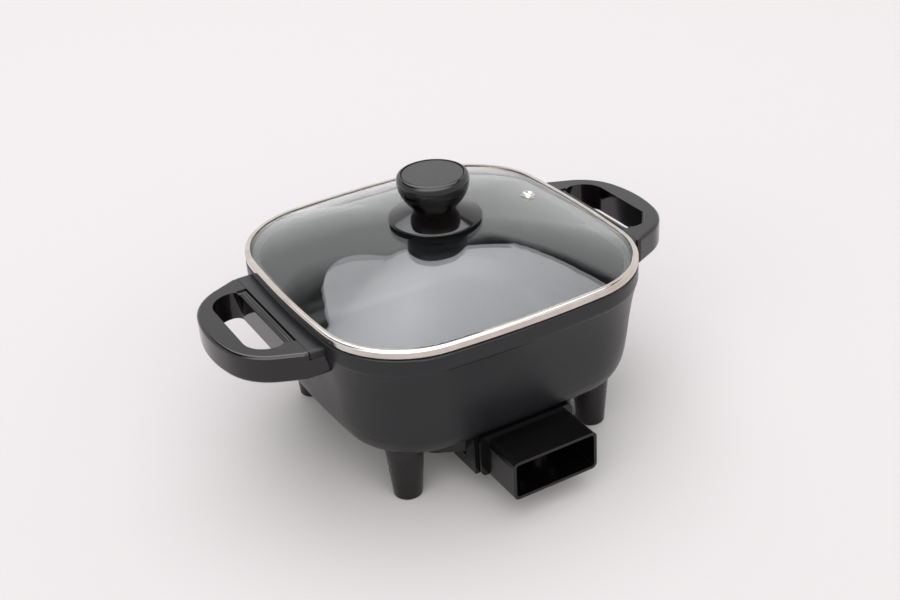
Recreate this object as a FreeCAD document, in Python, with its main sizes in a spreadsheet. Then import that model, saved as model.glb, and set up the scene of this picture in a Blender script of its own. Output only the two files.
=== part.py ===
"""Square electric skillet with a lift-off glass lid, in millimetres.

The origin is on the table under the middle of the pan, +Z is up, the socket for the
heat control faces -Y, and the two loop handles stand out along +X and -X.
"""
import FreeCAD, Part
import math
import os

import Sketcher

V = FreeCAD.Vector

SIZES = {
    # Outline that the lid band and the pan rim share: a square with bowed sides
    "rim_half": 120.0,
    "side_bow": 755.0,
    "rim_corner": 65.0,
    # Pan
    "leg_height": 36.0,
    "boss_drop": 2.0,
    "pan_height": 88.7,
    "rim_depth": 16.0,
    "rim_overhang": 7.4,
    "rim_roll": 6.8,
    "wall_draft": 2.6,
    "pan_wall": 3.2,
    "pan_floor": 6.0,
    "bottom_round": 25.0,
    "rim_edge_round": 1.2,
    "ledge_inset": 3.4,
    "ledge_drop": 3.4,
    # Lugs that carry the handles, measured outward from the rim and down from its top
    "lug_out": 8.2,
    "lug_half_width": 60.0,
    "lug_drop": 3.7,
    "lug_thickness": 5.4,
    "lug_round": 2.0,
    # Handles, measured outward from the rim
    "handle_out": 54.0,
    "handle_end_half": 46.0,
    "handle_end_back": 11.4,
    "handle_root_out": 11.5,
    "handle_height": 20.0,
    "handle_corner": 42.0,
    "handle_front_bow": 98.5,
    "handle_edge_round": 2.4,
    "handle_under_round": 3.0,
    "grip_width": 15.5,
    "finger_half": 41.5,
    "finger_far_corner": 17.0,
    "finger_near_corner": 6.0,
    "bead_width": 6.4,
    "bead_drop": 1.0,
    "bead_round": 1.2,
    "handle_screw_out": 1.4,
    "handle_screw_y": 34.0,
    # Legs
    "leg_inset": 44.5,
    "leg_foot_radius": 10.0,
    "leg_top_radius": 13.0,
    "leg_foot_round": 1.6,
    "leg_bore_radius": 6.2,
    "leg_bore_depth": 20.0,
    # Heater, its cast rib, and the socket, measured inward from the rim
    "heater_inset": 64.0,
    "heater_front_inset": 45.6,
    "heater_neck_inset": 22.0,
    "heater_bend": 20.0,
    "heater_shoulder_bend": 10.0,
    "heater_neck_bend": 7.0,
    "element_radius": 3.25,
    "rib_half_width": 6.0,
    "rib_skin": 1.95,
    "rib_round": 2.0,
    "terminal_inset": 17.4,
    "socket_drop": 6.3,
    "pin_half_spacing": 12.7,
    "pin_radius": 2.3,
    "pin_neck": 1.8,
    "pin_length": 18.6,
    "pin_shoulder": 1.0,
    "insulator_radius": 4.6,
    "insulator_length": 5.0,
    "probe_radius": 3.3,
    "probe_depth": 62.0,
    "probe_boss_half": 7.0,
    # Socket shroud, measured from the rim and from the height of the pins
    "shroud_out": 23.8,
    "shroud_half": 32.6,
    "shroud_below": 14.7,
    "shroud_above": 14.6,
    "shroud_wall": 2.2,
    "shroud_corner": 4.0,
    "collar_half": 36.6,
    "collar_above": 16.3,
    "collar_inset": 10.4,
    "collar_width": 1.9,
    "collar_pitch": 3.1,
    "tray_half": 38.4,
    "tray_inset": 50.5,
    "post_x": 28.0,
    "post_inset": 43.4,
    "post_radius": 4.5,
    "post_drop": 4.0,
    # Screws of the pan side
    "screw_radius": 1.9,
    "screw_head_radius": 3.7,
    "screw_head_height": 2.4,
    "screw_bite": 4.4,
    "screw_clearance": 0.3,
    "thread_gap": 0.05,
    # Lid
    "lid_gap": 0.3,
    "band_height": 6.3,
    "band_sheet": 0.6,
    "band_lip": 3.8,
    "band_skirt_drop": 2.8,
    "band_skirt_gap": 0.5,
    "glass_edge_gap": 0.1,
    "dome_rise": 24.3,
    "dome_outer_half": 89.5,
    "dome_middle_half": 60.0,
    "dome_upper_half": 32.0,
    "seat_half": 13.0,
    # Steam vent
    "vent_inset": 36.0,
    "vent_y": 12.0,
    "vent_flange_radius": 5.2,
    "vent_tube_radius": 3.3,
    "vent_bore_radius": 1.9,
    "vent_lip": 1.3,
    # Knob and what clamps it to the glass
    "seal_thickness": 1.2,
    "seal_radius": 15.0,
    "washer_thickness": 1.2,
    "washer_radius": 11.0,
    "skirt_radius": 33.2,
    "skirt_rim_drop": 1.6,
    "skirt_height": 9.6,
    "skirt_rim": 1.6,
    "skirt_flare": 18.0,
    "waist_radius": 15.6,
    "knob_radius": 25.2,
    "knob_height": 21.9,
    "knob_bowl": 60.0,
    "knob_neck": 2.0,
    "knob_brim": 4.6,
    "knob_edge_round": 3.4,
    "cap_radius": 21.4,
    "cap_depth": 1.7,
    "cap_gap": 0.5,
    "cap_sink": 0.4,
    "insert_radius": 4.0,
    "insert_length": 15.0,
    "knob_screw_radius": 2.5,
    "knob_screw_head": 4.6,
    "knob_screw_head_height": 2.6,
    "knob_screw_reach": 14.0,
    # Running clearance between pieces that are screwed or cast together
    "fit_gap": 0.1,
    "handle_gap": 0.3,
}

doc = FreeCAD.newDocument("skillet")
sheet = doc.addObject("Spreadsheet::Sheet", "Sizes")
for row, (alias, value) in enumerate(SIZES.items(), start=1):
    sheet.set(f"A{row}", alias)
    sheet.set(f"B{row}", str(value))
    sheet.setAlias(f"B{row}", alias)
doc.recompute()


class Size:
    """A length that knows its value and the sheet formula it comes from."""

    def __init__(self, value, formula):
        self.value = value
        self.formula = formula

    def __add__(self, other):
        other = as_size(other)
        return Size(self.value + other.value, f"({self.formula} + {other.formula})")

    def __sub__(self, other):
        other = as_size(other)
        return Size(self.value - other.value, f"({self.formula} - {other.formula})")

    def __mul__(self, other):
        other = as_size(other)
        return Size(self.value * other.value, f"({self.formula} * {other.formula})")

    def __truediv__(self, other):
        other = as_size(other)
        return Size(self.value / other.value, f"({self.formula} / {other.formula})")

    def __neg__(self):
        return Size(-self.value, f"(-1 * {self.formula})")

    def __radd__(self, other):
        return as_size(other) + self

    def __rsub__(self, other):
        return as_size(other) - self

    def __rmul__(self, other):
        return as_size(other) * self


def as_size(number):
    """Turn a plain number into a Size; a Size stays as it is."""
    if isinstance(number, Size):
        return number
    return Size(float(number), f"{float(number):.6f}")


def root(size):
    """Square root of a Size."""
    return Size(math.sqrt(size.value), f"sqrt({size.formula})")


def lean_of(slope):
    """Angle in degrees of a slope."""
    return Size(math.degrees(math.atan(slope.value)), f"atan({slope.formula})")


def named(alias):
    """The Size that stands in the sheet under this alias."""
    return Size(float(sheet.get(alias)), f"Sizes.{alias}")


def bind(thing, prop, size):
    """Bind one property of a document object to a size."""
    thing.setExpression(prop, as_size(size).formula)


def rounded(corners, radii):
    """Round the corners of an open or closed run of points.

    corners is a list of (x, y) sizes and radii maps a corner's index to its radius.
    Returns the new points and the arcs between them, as run() and loop() take them.
    """
    points = []
    arcs = {}
    count = len(corners)
    for index, (x, y) in enumerate(corners):
        if index not in radii:
            points.append((x, y))
            continue
        before = corners[index - 1]
        after = corners[(index + 1) % count]
        into = unit(before, (x, y))
        out = unit((x, y), after)
        turn = into[0] * out[1] - into[1] * out[0]
        along = into[0] * out[0] + into[1] * out[1]
        side = 1 if turn.value > 0 else -1
        reach = radii[index] * turn * side / (along + 1)
        points.append((x - into[0] * reach, y - into[1] * reach))
        arcs[len(points) - 1] = (radii[index], side)
        points.append((x + out[0] * reach, y + out[1] * reach))
    return points, arcs


def unit(start, end):
    """Direction from one point to the next, as two sizes."""
    across = as_size(end[0]) - start[0]
    upward = as_size(end[1]) - start[1]
    length = root(across * across + upward * upward)
    return across / length, upward / length


class Drawing:
    """A sketch on one of its own body's planes, with every size bound to the sheet."""

    def __init__(self, body, name, plane, height=0.0, shift=0.0):
        self.sketch = body.newObject("Sketcher::SketchObject", name)
        roles = {feature.Role: feature for feature in body.Origin.OriginFeatures}
        self.sketch.AttachmentSupport = [(roles[plane], "")]
        self.sketch.MapMode = "FlatFace"
        bind(self.sketch, ".AttachmentOffset.Base.x", shift)
        bind(self.sketch, ".AttachmentOffset.Base.z", height)

    def fix(self, kind, *place, size):
        """Add one constraint and bind its number to a size."""
        size = as_size(size)
        index = self.sketch.addConstraint(Sketcher.Constraint(kind, *place, size.value))
        self.sketch.setExpression(f"Constraints[{index}]", size.formula)

    def pin(self, geometry, end, point):
        """Hold one end of a line or arc at a point."""
        self.fix("DistanceX", -1, 1, geometry, end, size=point[0])
        self.fix("DistanceY", -1, 1, geometry, end, size=point[1])

    def run(self, points, arcs=None, closed=False):
        """Draw lines and arcs through the points.

        arcs maps the index of a piece to (radius, side); side is 1 where its centre
        is to the left of the way from one point to the next, and -1 to the right.
        """
        arcs = arcs or {}
        points = [(as_size(x), as_size(y)) for x, y in points]
        pieces = len(points) if closed else len(points) - 1
        ends = []
        for index in range(pieces):
            start = points[index]
            stop = points[(index + 1) % len(points)]
            if index in arcs:
                ends.append(self.arc(start, stop, *arcs[index]))
            else:
                ends.append(self.line(start, stop))
        for index in range(pieces):
            geometry, first, _ = ends[index]
            self.pin(geometry, first, points[index])
            if index > 0 or closed:
                before, _, last = ends[index - 1]
                self.sketch.addConstraint(
                    Sketcher.Constraint("Coincident", before, last, geometry, first))
        if not closed:
            geometry, _, last = ends[-1]
            self.pin(geometry, last, points[-1])
        return self

    def loop(self, points, arcs=None):
        """Draw a closed outline through the points."""
        return self.run(points, arcs, closed=True)

    def line(self, start, stop):
        """Add a line and return its number with its first and last ends."""
        first = V(start[0].value, start[1].value, 0)
        last = V(stop[0].value, stop[1].value, 0)
        return self.sketch.addGeometry(Part.LineSegment(first, last)), 1, 2

    def arc(self, start, stop, radius, side):
        """Add an arc of the given radius and return its number and ends."""
        radius = as_size(radius)
        first = V(start[0].value, start[1].value, 0)
        last = V(stop[0].value, stop[1].value, 0)
        chord = last - first
        normal = V(-chord.y, chord.x, 0).normalize() * side
        centre = (first + last) / 2 + normal * math.sqrt(radius.value**2 - (chord.Length / 2) ** 2)
        from_centre = [math.atan2(end.y - centre.y, end.x - centre.x) for end in (first, last)]
        if side < 0:
            from_centre.reverse()
        circle = Part.Circle(centre, V(0, 0, 1), radius.value)
        geometry = self.sketch.addGeometry(Part.ArcOfCircle(circle, *from_centre))
        self.fix("Radius", geometry, size=radius)
        return (geometry, 1, 2) if side > 0 else (geometry, 2, 1)

    def circle(self, centre, radius):
        """Draw a circle."""
        x, y = as_size(centre[0]), as_size(centre[1])
        radius = as_size(radius)
        circle = Part.Circle(V(x.value, y.value, 0), V(0, 0, 1), radius.value)
        geometry = self.sketch.addGeometry(circle)
        self.pin(geometry, 3, (x, y))
        self.fix("Radius", geometry, size=radius)
        return self

    def rectangle(self, x_low, x_high, y_low, y_high, corner=None):
        """Draw a rectangle, with rounded corners where a radius is given."""
        corners = [(x_low, y_low), (x_high, y_low), (x_high, y_high), (x_low, y_high)]
        corners = [(as_size(x), as_size(y)) for x, y in corners]
        if corner is None:
            return self.loop(corners)
        return self.loop(*rounded(corners, dict.fromkeys(range(4), corner)))

    def square(self, outline):
        """Draw a square with bowed sides and round corners, all arcs tangent."""
        half, bow, corner = outline
        centre_offset = bow - half
        reach = bow - corner
        # Middle of a corner arc: as far from both side centres as the radii differ
        middle = (root(2 * reach * reach - centre_offset * centre_offset) - centre_offset) / 2
        lean = math.atan2(middle.value, middle.value + centre_offset.value)
        geometries = []
        for quarter in range(4):
            turn = quarter * math.pi / 2
            side_centre = V(-centre_offset.value * math.cos(turn), -centre_offset.value * math.sin(turn), 0)
            diagonal = turn + math.pi / 4
            corner_centre = V(math.cos(diagonal), math.sin(diagonal), 0) * (middle.value * math.sqrt(2))
            side = Part.Circle(side_centre, V(0, 0, 1), bow.value)
            round_corner = Part.Circle(corner_centre, V(0, 0, 1), corner.value)
            geometries.append(self.sketch.addGeometry(
                Part.ArcOfCircle(side, turn - lean, turn + lean)))
            geometries.append(self.sketch.addGeometry(
                Part.ArcOfCircle(round_corner, turn + lean, turn + math.pi / 2 - lean)))
        for index, geometry in enumerate(geometries):
            after = geometries[(index + 1) % len(geometries)]
            self.sketch.addConstraint(Sketcher.Constraint("Tangent", geometry, 2, after, 1))
        sides = geometries[0::2]
        corners = geometries[1::2]
        for quarter, geometry in enumerate(sides):
            across = "DistanceX" if quarter % 2 == 0 else "DistanceY"
            level = "DistanceY" if quarter % 2 == 0 else "DistanceX"
            away = -centre_offset if quarter < 2 else centre_offset
            self.fix(across, -1, 1, geometry, 3, size=away)
            self.fix(level, -1, 1, geometry, 3, size=0)
        self.fix("Radius", sides[0], size=bow)
        self.fix("Radius", corners[0], size=corner)
        for group in (sides, corners):
            for geometry in group[1:]:
                self.sketch.addConstraint(Sketcher.Constraint("Equal", group[0], geometry))
        return self


def new_body(name):
    """A body whose label names its file."""
    body = doc.addObject("PartDesign::Body", name)
    body.Label = name
    return body


def pad(body, drawing, length, downward=False):
    """Raise a sketch into a block."""
    feature = body.newObject("PartDesign::Pad", drawing.sketch.Name + "_pad")
    feature.Profile = drawing.sketch
    bind(feature, "Length", length)
    feature.Reversed = downward
    drawing.sketch.Visibility = False
    return feature


def pocket(body, drawing, length, upward=True):
    """Cut a sketch out of the body, along the sketch's normal unless told otherwise."""
    feature = body.newObject("PartDesign::Pocket", drawing.sketch.Name + "_cut")
    feature.Profile = drawing.sketch
    bind(feature, "Length", length)
    feature.Reversed = upward
    return feature


def turn(body, drawing, cut=False):
    """Turn a sketch about its own upright axis, to add to the body or to cut it."""
    kind = "PartDesign::Groove" if cut else "PartDesign::Revolution"
    feature = body.newObject(kind, drawing.sketch.Name + "_turned")
    feature.Profile = drawing.sketch
    feature.ReferenceAxis = (drawing.sketch, ["V_Axis"])
    feature.Angle = 360.0
    return feature


def loft(body, drawings, ruled=True, cut=False):
    """Span the sketches, bottom to top, to add to the body or to cut it."""
    kind = "PartDesign::SubtractiveLoft" if cut else "PartDesign::AdditiveLoft"
    feature = body.newObject(kind, drawings[0].sketch.Name + "_loft")
    feature.Profile = drawings[0].sketch
    feature.Sections = [drawing.sketch for drawing in drawings[1:]]
    feature.Ruled = ruled
    return feature


def pipe(body, profile, path, cut=False):
    """Draw a profile along a path."""
    kind = "PartDesign::SubtractivePipe" if cut else "PartDesign::AdditivePipe"
    feature = body.newObject(kind, profile.sketch.Name + "_pipe")
    feature.Profile = profile.sketch
    feature.Spine = (path.sketch, [])
    return feature


def subtract(body, tool):
    """Cut another body's shape out of this one."""
    feature = body.newObject("PartDesign::Boolean", tool.Name + "_cut")
    feature.Type = "Cut"
    feature.setObjects([tool])
    return feature


def fillet(body, radius, chosen):
    """Round the edges of the body's tip that the test picks."""
    doc.recompute()
    base = body.Tip
    names = [f"Edge{index}" for index, edge in enumerate(base.Shape.Edges, start=1) if chosen(edge)]
    if not names:
        raise RuntimeError(f"no edge to round on {body.Label} after {base.Name}")
    feature = body.newObject("PartDesign::Fillet", f"{base.Name}_round")
    feature.Base = (base, names)
    bind(feature, "Radius", radius)
    return feature


def level(edge, height):
    """Whether an edge lies flat at a height."""
    height = as_size(height).value
    ends = edge.FirstParameter, edge.LastParameter, (edge.FirstParameter + edge.LastParameter) / 2
    return all(abs(edge.valueAt(place).z - height) < 0.01 for place in ends)


def middle_of(edge):
    """Point half way along an edge."""
    return edge.valueAt((edge.FirstParameter + edge.LastParameter) / 2)


def inset(distance):
    """The rim's outline moved inward by a distance."""
    return rim_half - distance, side_bow - distance, rim_corner - distance


def scaled(half):
    """The rim's outline drawn smaller, to the given half width."""
    share = half / rim_half
    return half, side_bow * share, rim_corner * share


def copy_of(source, name, angle=0.0, centres=((0, 0, 0),)):
    """One or more turned and moved copies of a body, as one document object."""
    feature = doc.addObject("Part::Feature", name)
    feature.Label = name
    shapes = []
    for centre in centres:
        shape = source.Shape.copy()
        shape.Placement = FreeCAD.Placement(V(*centre), FreeCAD.Rotation(V(0, 0, 1), angle))
        shapes.append(shape)
    feature.Shape = shapes[0] if len(shapes) == 1 else Part.makeCompound(shapes)
    return feature


# Sizes used by more than one piece
rim_half = named("rim_half")
side_bow = named("side_bow")
rim_corner = named("rim_corner")
fit_gap = named("fit_gap")
thread_gap = named("thread_gap")
pan_bottom = named("leg_height") + named("boss_drop")
floor_top = pan_bottom + named("pan_floor")
rim_top = pan_bottom + named("pan_height")
rim_under = rim_top - named("rim_depth")
wall_top = rim_half - named("rim_overhang")
wall_foot = wall_top - named("wall_draft")
wall_lean = lean_of(named("wall_draft") / (rim_under - pan_bottom))
lug_reach = rim_half + named("lug_out")
lug_top = rim_top - named("lug_drop")
handle_reach = rim_half + named("handle_out")
handle_root = rim_half + named("handle_root_out")
handle_screw_x = rim_half + named("handle_screw_out")
leg_pitch = rim_half - named("leg_inset")
heater_half = rim_half - named("heater_inset")
heater_front = rim_half - named("heater_front_inset")
heater_neck = rim_half - named("heater_neck_inset")
terminal_front = rim_half - named("terminal_inset")
socket_height = pan_bottom - named("socket_drop")
shroud_front = rim_half + named("shroud_out")
shroud_bottom = socket_height - named("shroud_below")
shroud_top = socket_height + named("shroud_above")
collar_top = socket_height + named("collar_above")
collar_front = rim_half - named("collar_inset")
tray_back = rim_half - named("tray_inset")
post_y = rim_half - named("post_inset")
post_top = pan_bottom - named("post_drop")
lip_half = rim_half - named("band_lip")
vent_x = rim_half - named("vent_inset")
rib_bottom = socket_height - named("element_radius") - named("rib_skin")
cast_depth = named("pan_floor") / 3 * 2
rib_top = pan_bottom + cast_depth
screw_radius = named("screw_radius")
screw_hole = screw_radius + named("screw_clearance")
head_bore = named("screw_head_radius") + named("screw_clearance")
corners = [(1, 1), (-1, 1), (-1, -1), (1, -1)]


def heater_route():
    """Middle line of the heater, from one terminal round the pan's floor to the other."""
    right = [(named("pin_half_spacing"), -terminal_front),
             (named("pin_half_spacing"), -heater_neck),
             (heater_half, -heater_front),
             (heater_half, heater_half)]
    left = [(-x, y) for x, y in reversed(right)]
    bends = ["heater_neck_bend", "heater_shoulder_bend", "heater_bend"]
    bends = bends + bends[::-1]
    return rounded(right + left, {index: named(bend) for index, bend in enumerate(bends, start=1)})


def make_hollow(wall):
    """The space inside the pan, as a block to cut from the casting."""
    body = new_body("pan_hollow")
    foot = Drawing(body, "hollow_foot", "XY_Plane", floor_top)
    foot.square(inset(named("rim_overhang") + named("wall_draft") + wall))
    bind(pad(body, foot, rim_top - floor_top + wall), "TaperAngle", wall_lean)
    fillet(body, named("bottom_round") - wall, lambda edge: level(edge, floor_top))
    return body


def make_pan():
    """Cast pan with its rolled rim, lugs, bosses and heater rib."""
    body = new_body("pan_body")
    foot = Drawing(body, "pan_foot", "XY_Plane", pan_bottom)
    foot.square(inset(named("rim_overhang") + named("wall_draft")))
    bind(pad(body, foot, rim_under - pan_bottom), "TaperAngle", wall_lean)
    fillet(body, named("bottom_round"), lambda edge: level(edge, pan_bottom))

    rim = Drawing(body, "pan_rim", "XY_Plane", rim_under).square(inset(as_size(0)))
    pad(body, rim, named("rim_depth"))

    def outer(edge):
        radius = getattr(edge.Curve, "Radius", 0)
        return min(abs(radius - side_bow.value), abs(radius - rim_corner.value)) < 0.01

    fillet(body, named("rim_roll"), lambda edge: level(edge, rim_under) and outer(edge))

    wall = named("pan_wall")
    subtract(body, make_hollow(wall))
    ledge = Drawing(body, "lid_ledge", "XY_Plane", rim_top - named("ledge_drop"))
    ledge.square(inset(named("ledge_inset")))
    pocket(body, ledge, named("ledge_drop") * 2)
    fillet(body, named("rim_edge_round"), lambda edge: level(edge, rim_top))

    lug = Drawing(body, "lugs", "XY_Plane", lug_top - named("lug_thickness"))
    bow = side_bow - named("rim_overhang") - wall / 2
    half = named("lug_half_width")
    inner = root(bow * bow - half * half) - (side_bow - rim_half)
    for side in (1, -1):
        reach = lug_reach * side
        lug.loop([(inner * side, -half), (reach, -half), (reach, half), (inner * side, half)], {3: (bow, -side)})
    pad(body, lug, named("lug_thickness"))

    def lug_edge(edge):
        box = edge.BoundBox
        inside = wall_top.value
        side_on = level(edge, lug_top) and abs(middle_of(edge).x) > inside
        along_x = abs(abs(box.YMin) - named("lug_half_width").value) < 0.01 and box.YLength < 0.01
        upright = abs(abs(box.XMin) - lug_reach.value) < 0.01 and box.ZLength > 1
        return (side_on and along_x) or upright

    fillet(body, named("lug_round"), lug_edge)

    boss = Drawing(body, "leg_bosses", "XY_Plane", named("leg_height"))
    for x, y in corners:
        boss.circle((leg_pitch * x, leg_pitch * y), named("leg_top_radius"))
    pad(body, boss, floor_top - fit_gap * 4 - named("leg_height"))

    post = Drawing(body, "shroud_bosses", "XY_Plane", post_top)
    for side in (1, -1):
        post.circle((named("post_x") * side, -post_y), named("post_radius"))
    pad(body, post, rib_top - post_top)

    route = Drawing(body, "rib_route", "XY_Plane", socket_height).run(*heater_route())
    rib = Drawing(body, "rib_section", "XZ_Plane", terminal_front)
    half = named("rib_half_width")
    middle = named("pin_half_spacing")
    rib_corners = [(middle - half, rib_bottom), (middle + half, rib_bottom),
                   (middle + half, rib_top), (middle - half, rib_top)]
    rib.loop(*rounded(rib_corners, {0: named("rib_round"), 1: named("rib_round")}))
    pipe(body, rib, route)

    probe = Drawing(body, "probe_boss", "XY_Plane", rib_bottom)
    probe.rectangle(-named("probe_boss_half"), named("probe_boss_half"),
                    -terminal_front, named("probe_depth") + named("rib_half_width") - terminal_front)
    pad(body, probe, rib_top - rib_bottom)

    tunnel = Drawing(body, "heater_tunnel", "XZ_Plane", terminal_front)
    tunnel.circle((named("pin_half_spacing"), socket_height), named("element_radius") + thread_gap)
    pipe(body, tunnel, route, cut=True)

    bore = Drawing(body, "probe_bore", "XZ_Plane", terminal_front)
    bore.circle((0, socket_height), named("probe_radius"))
    pocket(body, bore, named("probe_depth"), upward=False)

    lug_holes = Drawing(body, "lug_holes", "XY_Plane", lug_top - named("lug_thickness"))
    for x, y in corners:
        lug_holes.circle((handle_screw_x * x, named("handle_screw_y") * y), screw_radius + thread_gap)
    pocket(body, lug_holes, named("screw_bite") + fit_gap)

    leg_holes = Drawing(body, "leg_holes", "XY_Plane", named("leg_height"))
    for x, y in corners:
        leg_holes.circle((leg_pitch * x, leg_pitch * y), screw_radius + thread_gap)
    pocket(body, leg_holes, named("screw_bite") + fit_gap)

    post_holes = Drawing(body, "post_holes", "XY_Plane", post_top)
    for side in (1, -1):
        post_holes.circle((named("post_x") * side, -post_y), screw_radius + thread_gap)
    pocket(body, post_holes, named("screw_bite") + fit_gap)
    return body


def make_heater():
    """Tubular heater, with its pins, beads and the two ends at the socket."""
    body = new_body("heating_element")
    route = Drawing(body, "heater_path", "XY_Plane", socket_height).run(*heater_route())
    section = Drawing(body, "heater_section", "XZ_Plane", terminal_front)
    section.circle((named("pin_half_spacing"), socket_height), named("element_radius"))
    pipe(body, section, route)

    for name, side in (("terminal_pin_left", -1), ("terminal_pin_right", 1)):
        body = new_body(name)
        wide, long = named("pin_radius"), named("pin_length")
        neck, shoulder = named("pin_neck"), named("insulator_length") + named("pin_shoulder")
        outline = [(0, 0), (neck, 0), (neck, shoulder), (wide, shoulder), (wide, long - wide / 2),
                   (wide / 2, long), (0, long)]
        turn(body, Drawing(body, name + "_outline", "XZ_Plane").loop(outline))
        lay_forward(body, side)

    for name, side in (("pin_insulator_left", -1), ("pin_insulator_right", 1)):
        body = new_body(name)
        inner = named("pin_neck") + fit_gap
        outer = named("insulator_radius")
        long = named("insulator_length")
        taper = named("insulator_radius") - named("element_radius")
        outline = [(inner, 0), (outer, 0), (outer, long - taper), (outer - taper, long), (inner, long)]
        turn(body, Drawing(body, name + "_outline", "XZ_Plane").loop(outline))
        lay_forward(body, side)


def lay_forward(body, side):
    """Point a piece that was turned about +Z along -Y, at the end of the heater."""
    body.Placement = FreeCAD.Placement(V(0, 0, 0), FreeCAD.Rotation(V(1, 0, 0), 90))
    bind(body, "Placement.Base.x", named("pin_half_spacing") * side)
    bind(body, "Placement.Base.y", -terminal_front)
    bind(body, "Placement.Base.z", socket_height)


def clear_of_pan(body, name, plane, toward):
    """Cut away what would touch the pan's wall, round bottom or rolled rim.

    toward is 1 for a piece on the +X side and -1 for one on the -Y side. The cut is
    turned about the middle of that side's bow, so it follows the wall all the way.
    """
    gap = named("handle_gap")
    far = side_bow - rim_half
    lean = named("wall_draft") / (rim_under - pan_bottom)
    bottom_round = named("bottom_round")
    roll = named("rim_roll")
    # Where the wall's straight part meets the round bottom, seen from the side
    tangent = pan_bottom + bottom_round
    wall_at_tangent = wall_foot + lean * bottom_round
    low = pan_bottom - gap
    flat_end = wall_at_tangent - bottom_round
    points = [(far + flat_end - bottom_round * 2, low),
              (far + flat_end, low),
              (far + wall_at_tangent + gap, tangent),
              (far + wall_top + gap, rim_under - gap),
              (far + rim_half - roll, rim_under - gap),
              (far + rim_half + gap, rim_under + roll),
              (far + rim_half + gap, rim_top + roll),
              (far + flat_end - bottom_round * 2, rim_top + roll)]
    arcs = {1: (bottom_round + gap, 1), 4: (roll + gap, 1)}
    if toward < 0:
        points = [(-x, y) for x, y in points]
        arcs = {index: (radius, -side) for index, (radius, side) in arcs.items()}
    shift = far * -1 if toward > 0 else far
    turn(body, Drawing(body, name, plane, shift=shift).loop(points, arcs), cut=True)


def make_handle():
    """Right loop handle; the left one is the same moulding turned half way round."""
    body = new_body("handle_right")
    top = lug_top
    bottom = top - named("handle_height")
    half = named("lug_half_width")
    inner = wall_foot - named("bottom_round")
    end_x = handle_reach - named("handle_end_back")
    end_y = named("handle_end_half")
    outline = [(inner, -half), (handle_root, -half), (end_x, -end_y),
               (end_x, end_y), (handle_root, half), (inner, half)]
    block = Drawing(body, "handle_outline", "XY_Plane", bottom)
    block.loop(outline, {2: (named("handle_front_bow"), 1)})
    pad(body, block, named("handle_height"))

    def corner_edge(edge):
        box = edge.BoundBox
        return box.ZLength > 1 and abs(box.XMin - end_x.value) < 0.01

    fillet(body, named("handle_corner"), corner_edge)

    finger = named("finger_half")
    near = lug_reach + named("handle_gap") + named("bead_width")
    far = handle_reach - named("grip_width")
    opening = Drawing(body, "finger_opening", "XY_Plane", bottom)
    opening_corners = [(near, -finger), (far, -finger), (far, finger), (near, finger)]
    bends = [named("finger_near_corner"), named("finger_far_corner")]
    opening.loop(*rounded(opening_corners, dict(enumerate(bends + bends[::-1]))))
    pocket(body, opening, named("handle_height"))

    seam = lug_reach + named("handle_gap")
    shelf = Drawing(body, "lug_shelf", "XY_Plane", top - named("lug_thickness") - named("handle_gap"))
    shelf.rectangle(inner, seam, -half * 2, half * 2)
    pocket(body, shelf, named("handle_height"))

    bead = Drawing(body, "bead_drop_cut", "XY_Plane", top - named("bead_drop"))
    bead.rectangle(seam - 1, near + 1, -finger, finger)
    pocket(body, bead, named("handle_height"))

    clear_of_pan(body, "handle_clearance", "XZ_Plane", 1)

    def bead_edge(edge):
        box = edge.BoundBox
        return level(edge, top - named("bead_drop")) and box.YLength > finger.value

    fillet(body, named("bead_round"), bead_edge)

    def top_edge(edge):
        middle = middle_of(edge)
        outside = middle.x > far.value + 1 or abs(middle.y) > finger.value + 1
        return level(edge, top) and outside and middle.x > seam.value + 1

    fillet(body, named("handle_edge_round"), top_edge)

    def under_edge(edge):
        middle = middle_of(edge)
        outside = middle.x > far.value + 1 or abs(middle.y) > finger.value + 1
        return level(edge, bottom) and outside and middle.x > wall_top.value + 6

    fillet(body, named("handle_under_round"), under_edge)

    holes = Drawing(body, "handle_holes", "XY_Plane", bottom)
    bores = Drawing(body, "handle_bores", "XY_Plane", bottom)
    for side in (1, -1):
        holes.circle((handle_screw_x, named("handle_screw_y") * side), screw_hole)
        bores.circle((handle_screw_x, named("handle_screw_y") * side), head_bore)
    pocket(body, holes, named("handle_height"))
    pocket(body, bores, named("screw_head_height") * 2)
    return body


def make_screw(name, grip):
    """Cross-head screw that stands head down, its head's upper face at height zero."""
    body = new_body(name)
    head = named("screw_head_radius")
    high = named("screw_head_height")
    shank = grip + named("screw_bite")
    tip = screw_radius / 2
    outline = [(0, -high), (head * 0.55, -high), (head, -high * 0.35), (head, 0), (screw_radius, 0),
               (screw_radius, shank - tip), (screw_radius - tip, shank), (0, shank)]
    turn(body, Drawing(body, name + "_outline", "XZ_Plane").loop(outline, {1: (head * 0.9, 1)}))
    cross = Drawing(body, name + "_cross", "XY_Plane", -high)
    arm = head * 0.6
    web = head * 0.14
    cross.loop([(arm, -web), (arm, web), (web, web), (web, arm), (-web, arm), (-web, web),
                (-arm, web), (-arm, -web), (-web, -web), (-web, -arm), (web, -arm), (web, -web)])
    pocket(body, cross, high * 0.6)
    return body


def make_leg():
    """Tapered leg with a bored foot for its screw."""
    body = new_body("leg_front_right")
    foot = named("leg_foot_radius")
    top = named("leg_top_radius")
    bore = named("leg_bore_radius")
    deep = named("leg_bore_depth")
    corners_of_leg = [(bore, 0), (foot, 0), (top, named("leg_height")), (screw_hole, named("leg_height")),
                      (screw_hole, deep), (bore, deep)]
    outline = rounded([(as_size(x), as_size(y)) for x, y in corners_of_leg], {1: named("leg_foot_round")})
    turn(body, Drawing(body, "leg_outline", "XZ_Plane").loop(*outline))
    bind(body, "Placement.Base.x", leg_pitch)
    bind(body, "Placement.Base.y", -leg_pitch)
    return body


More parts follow.
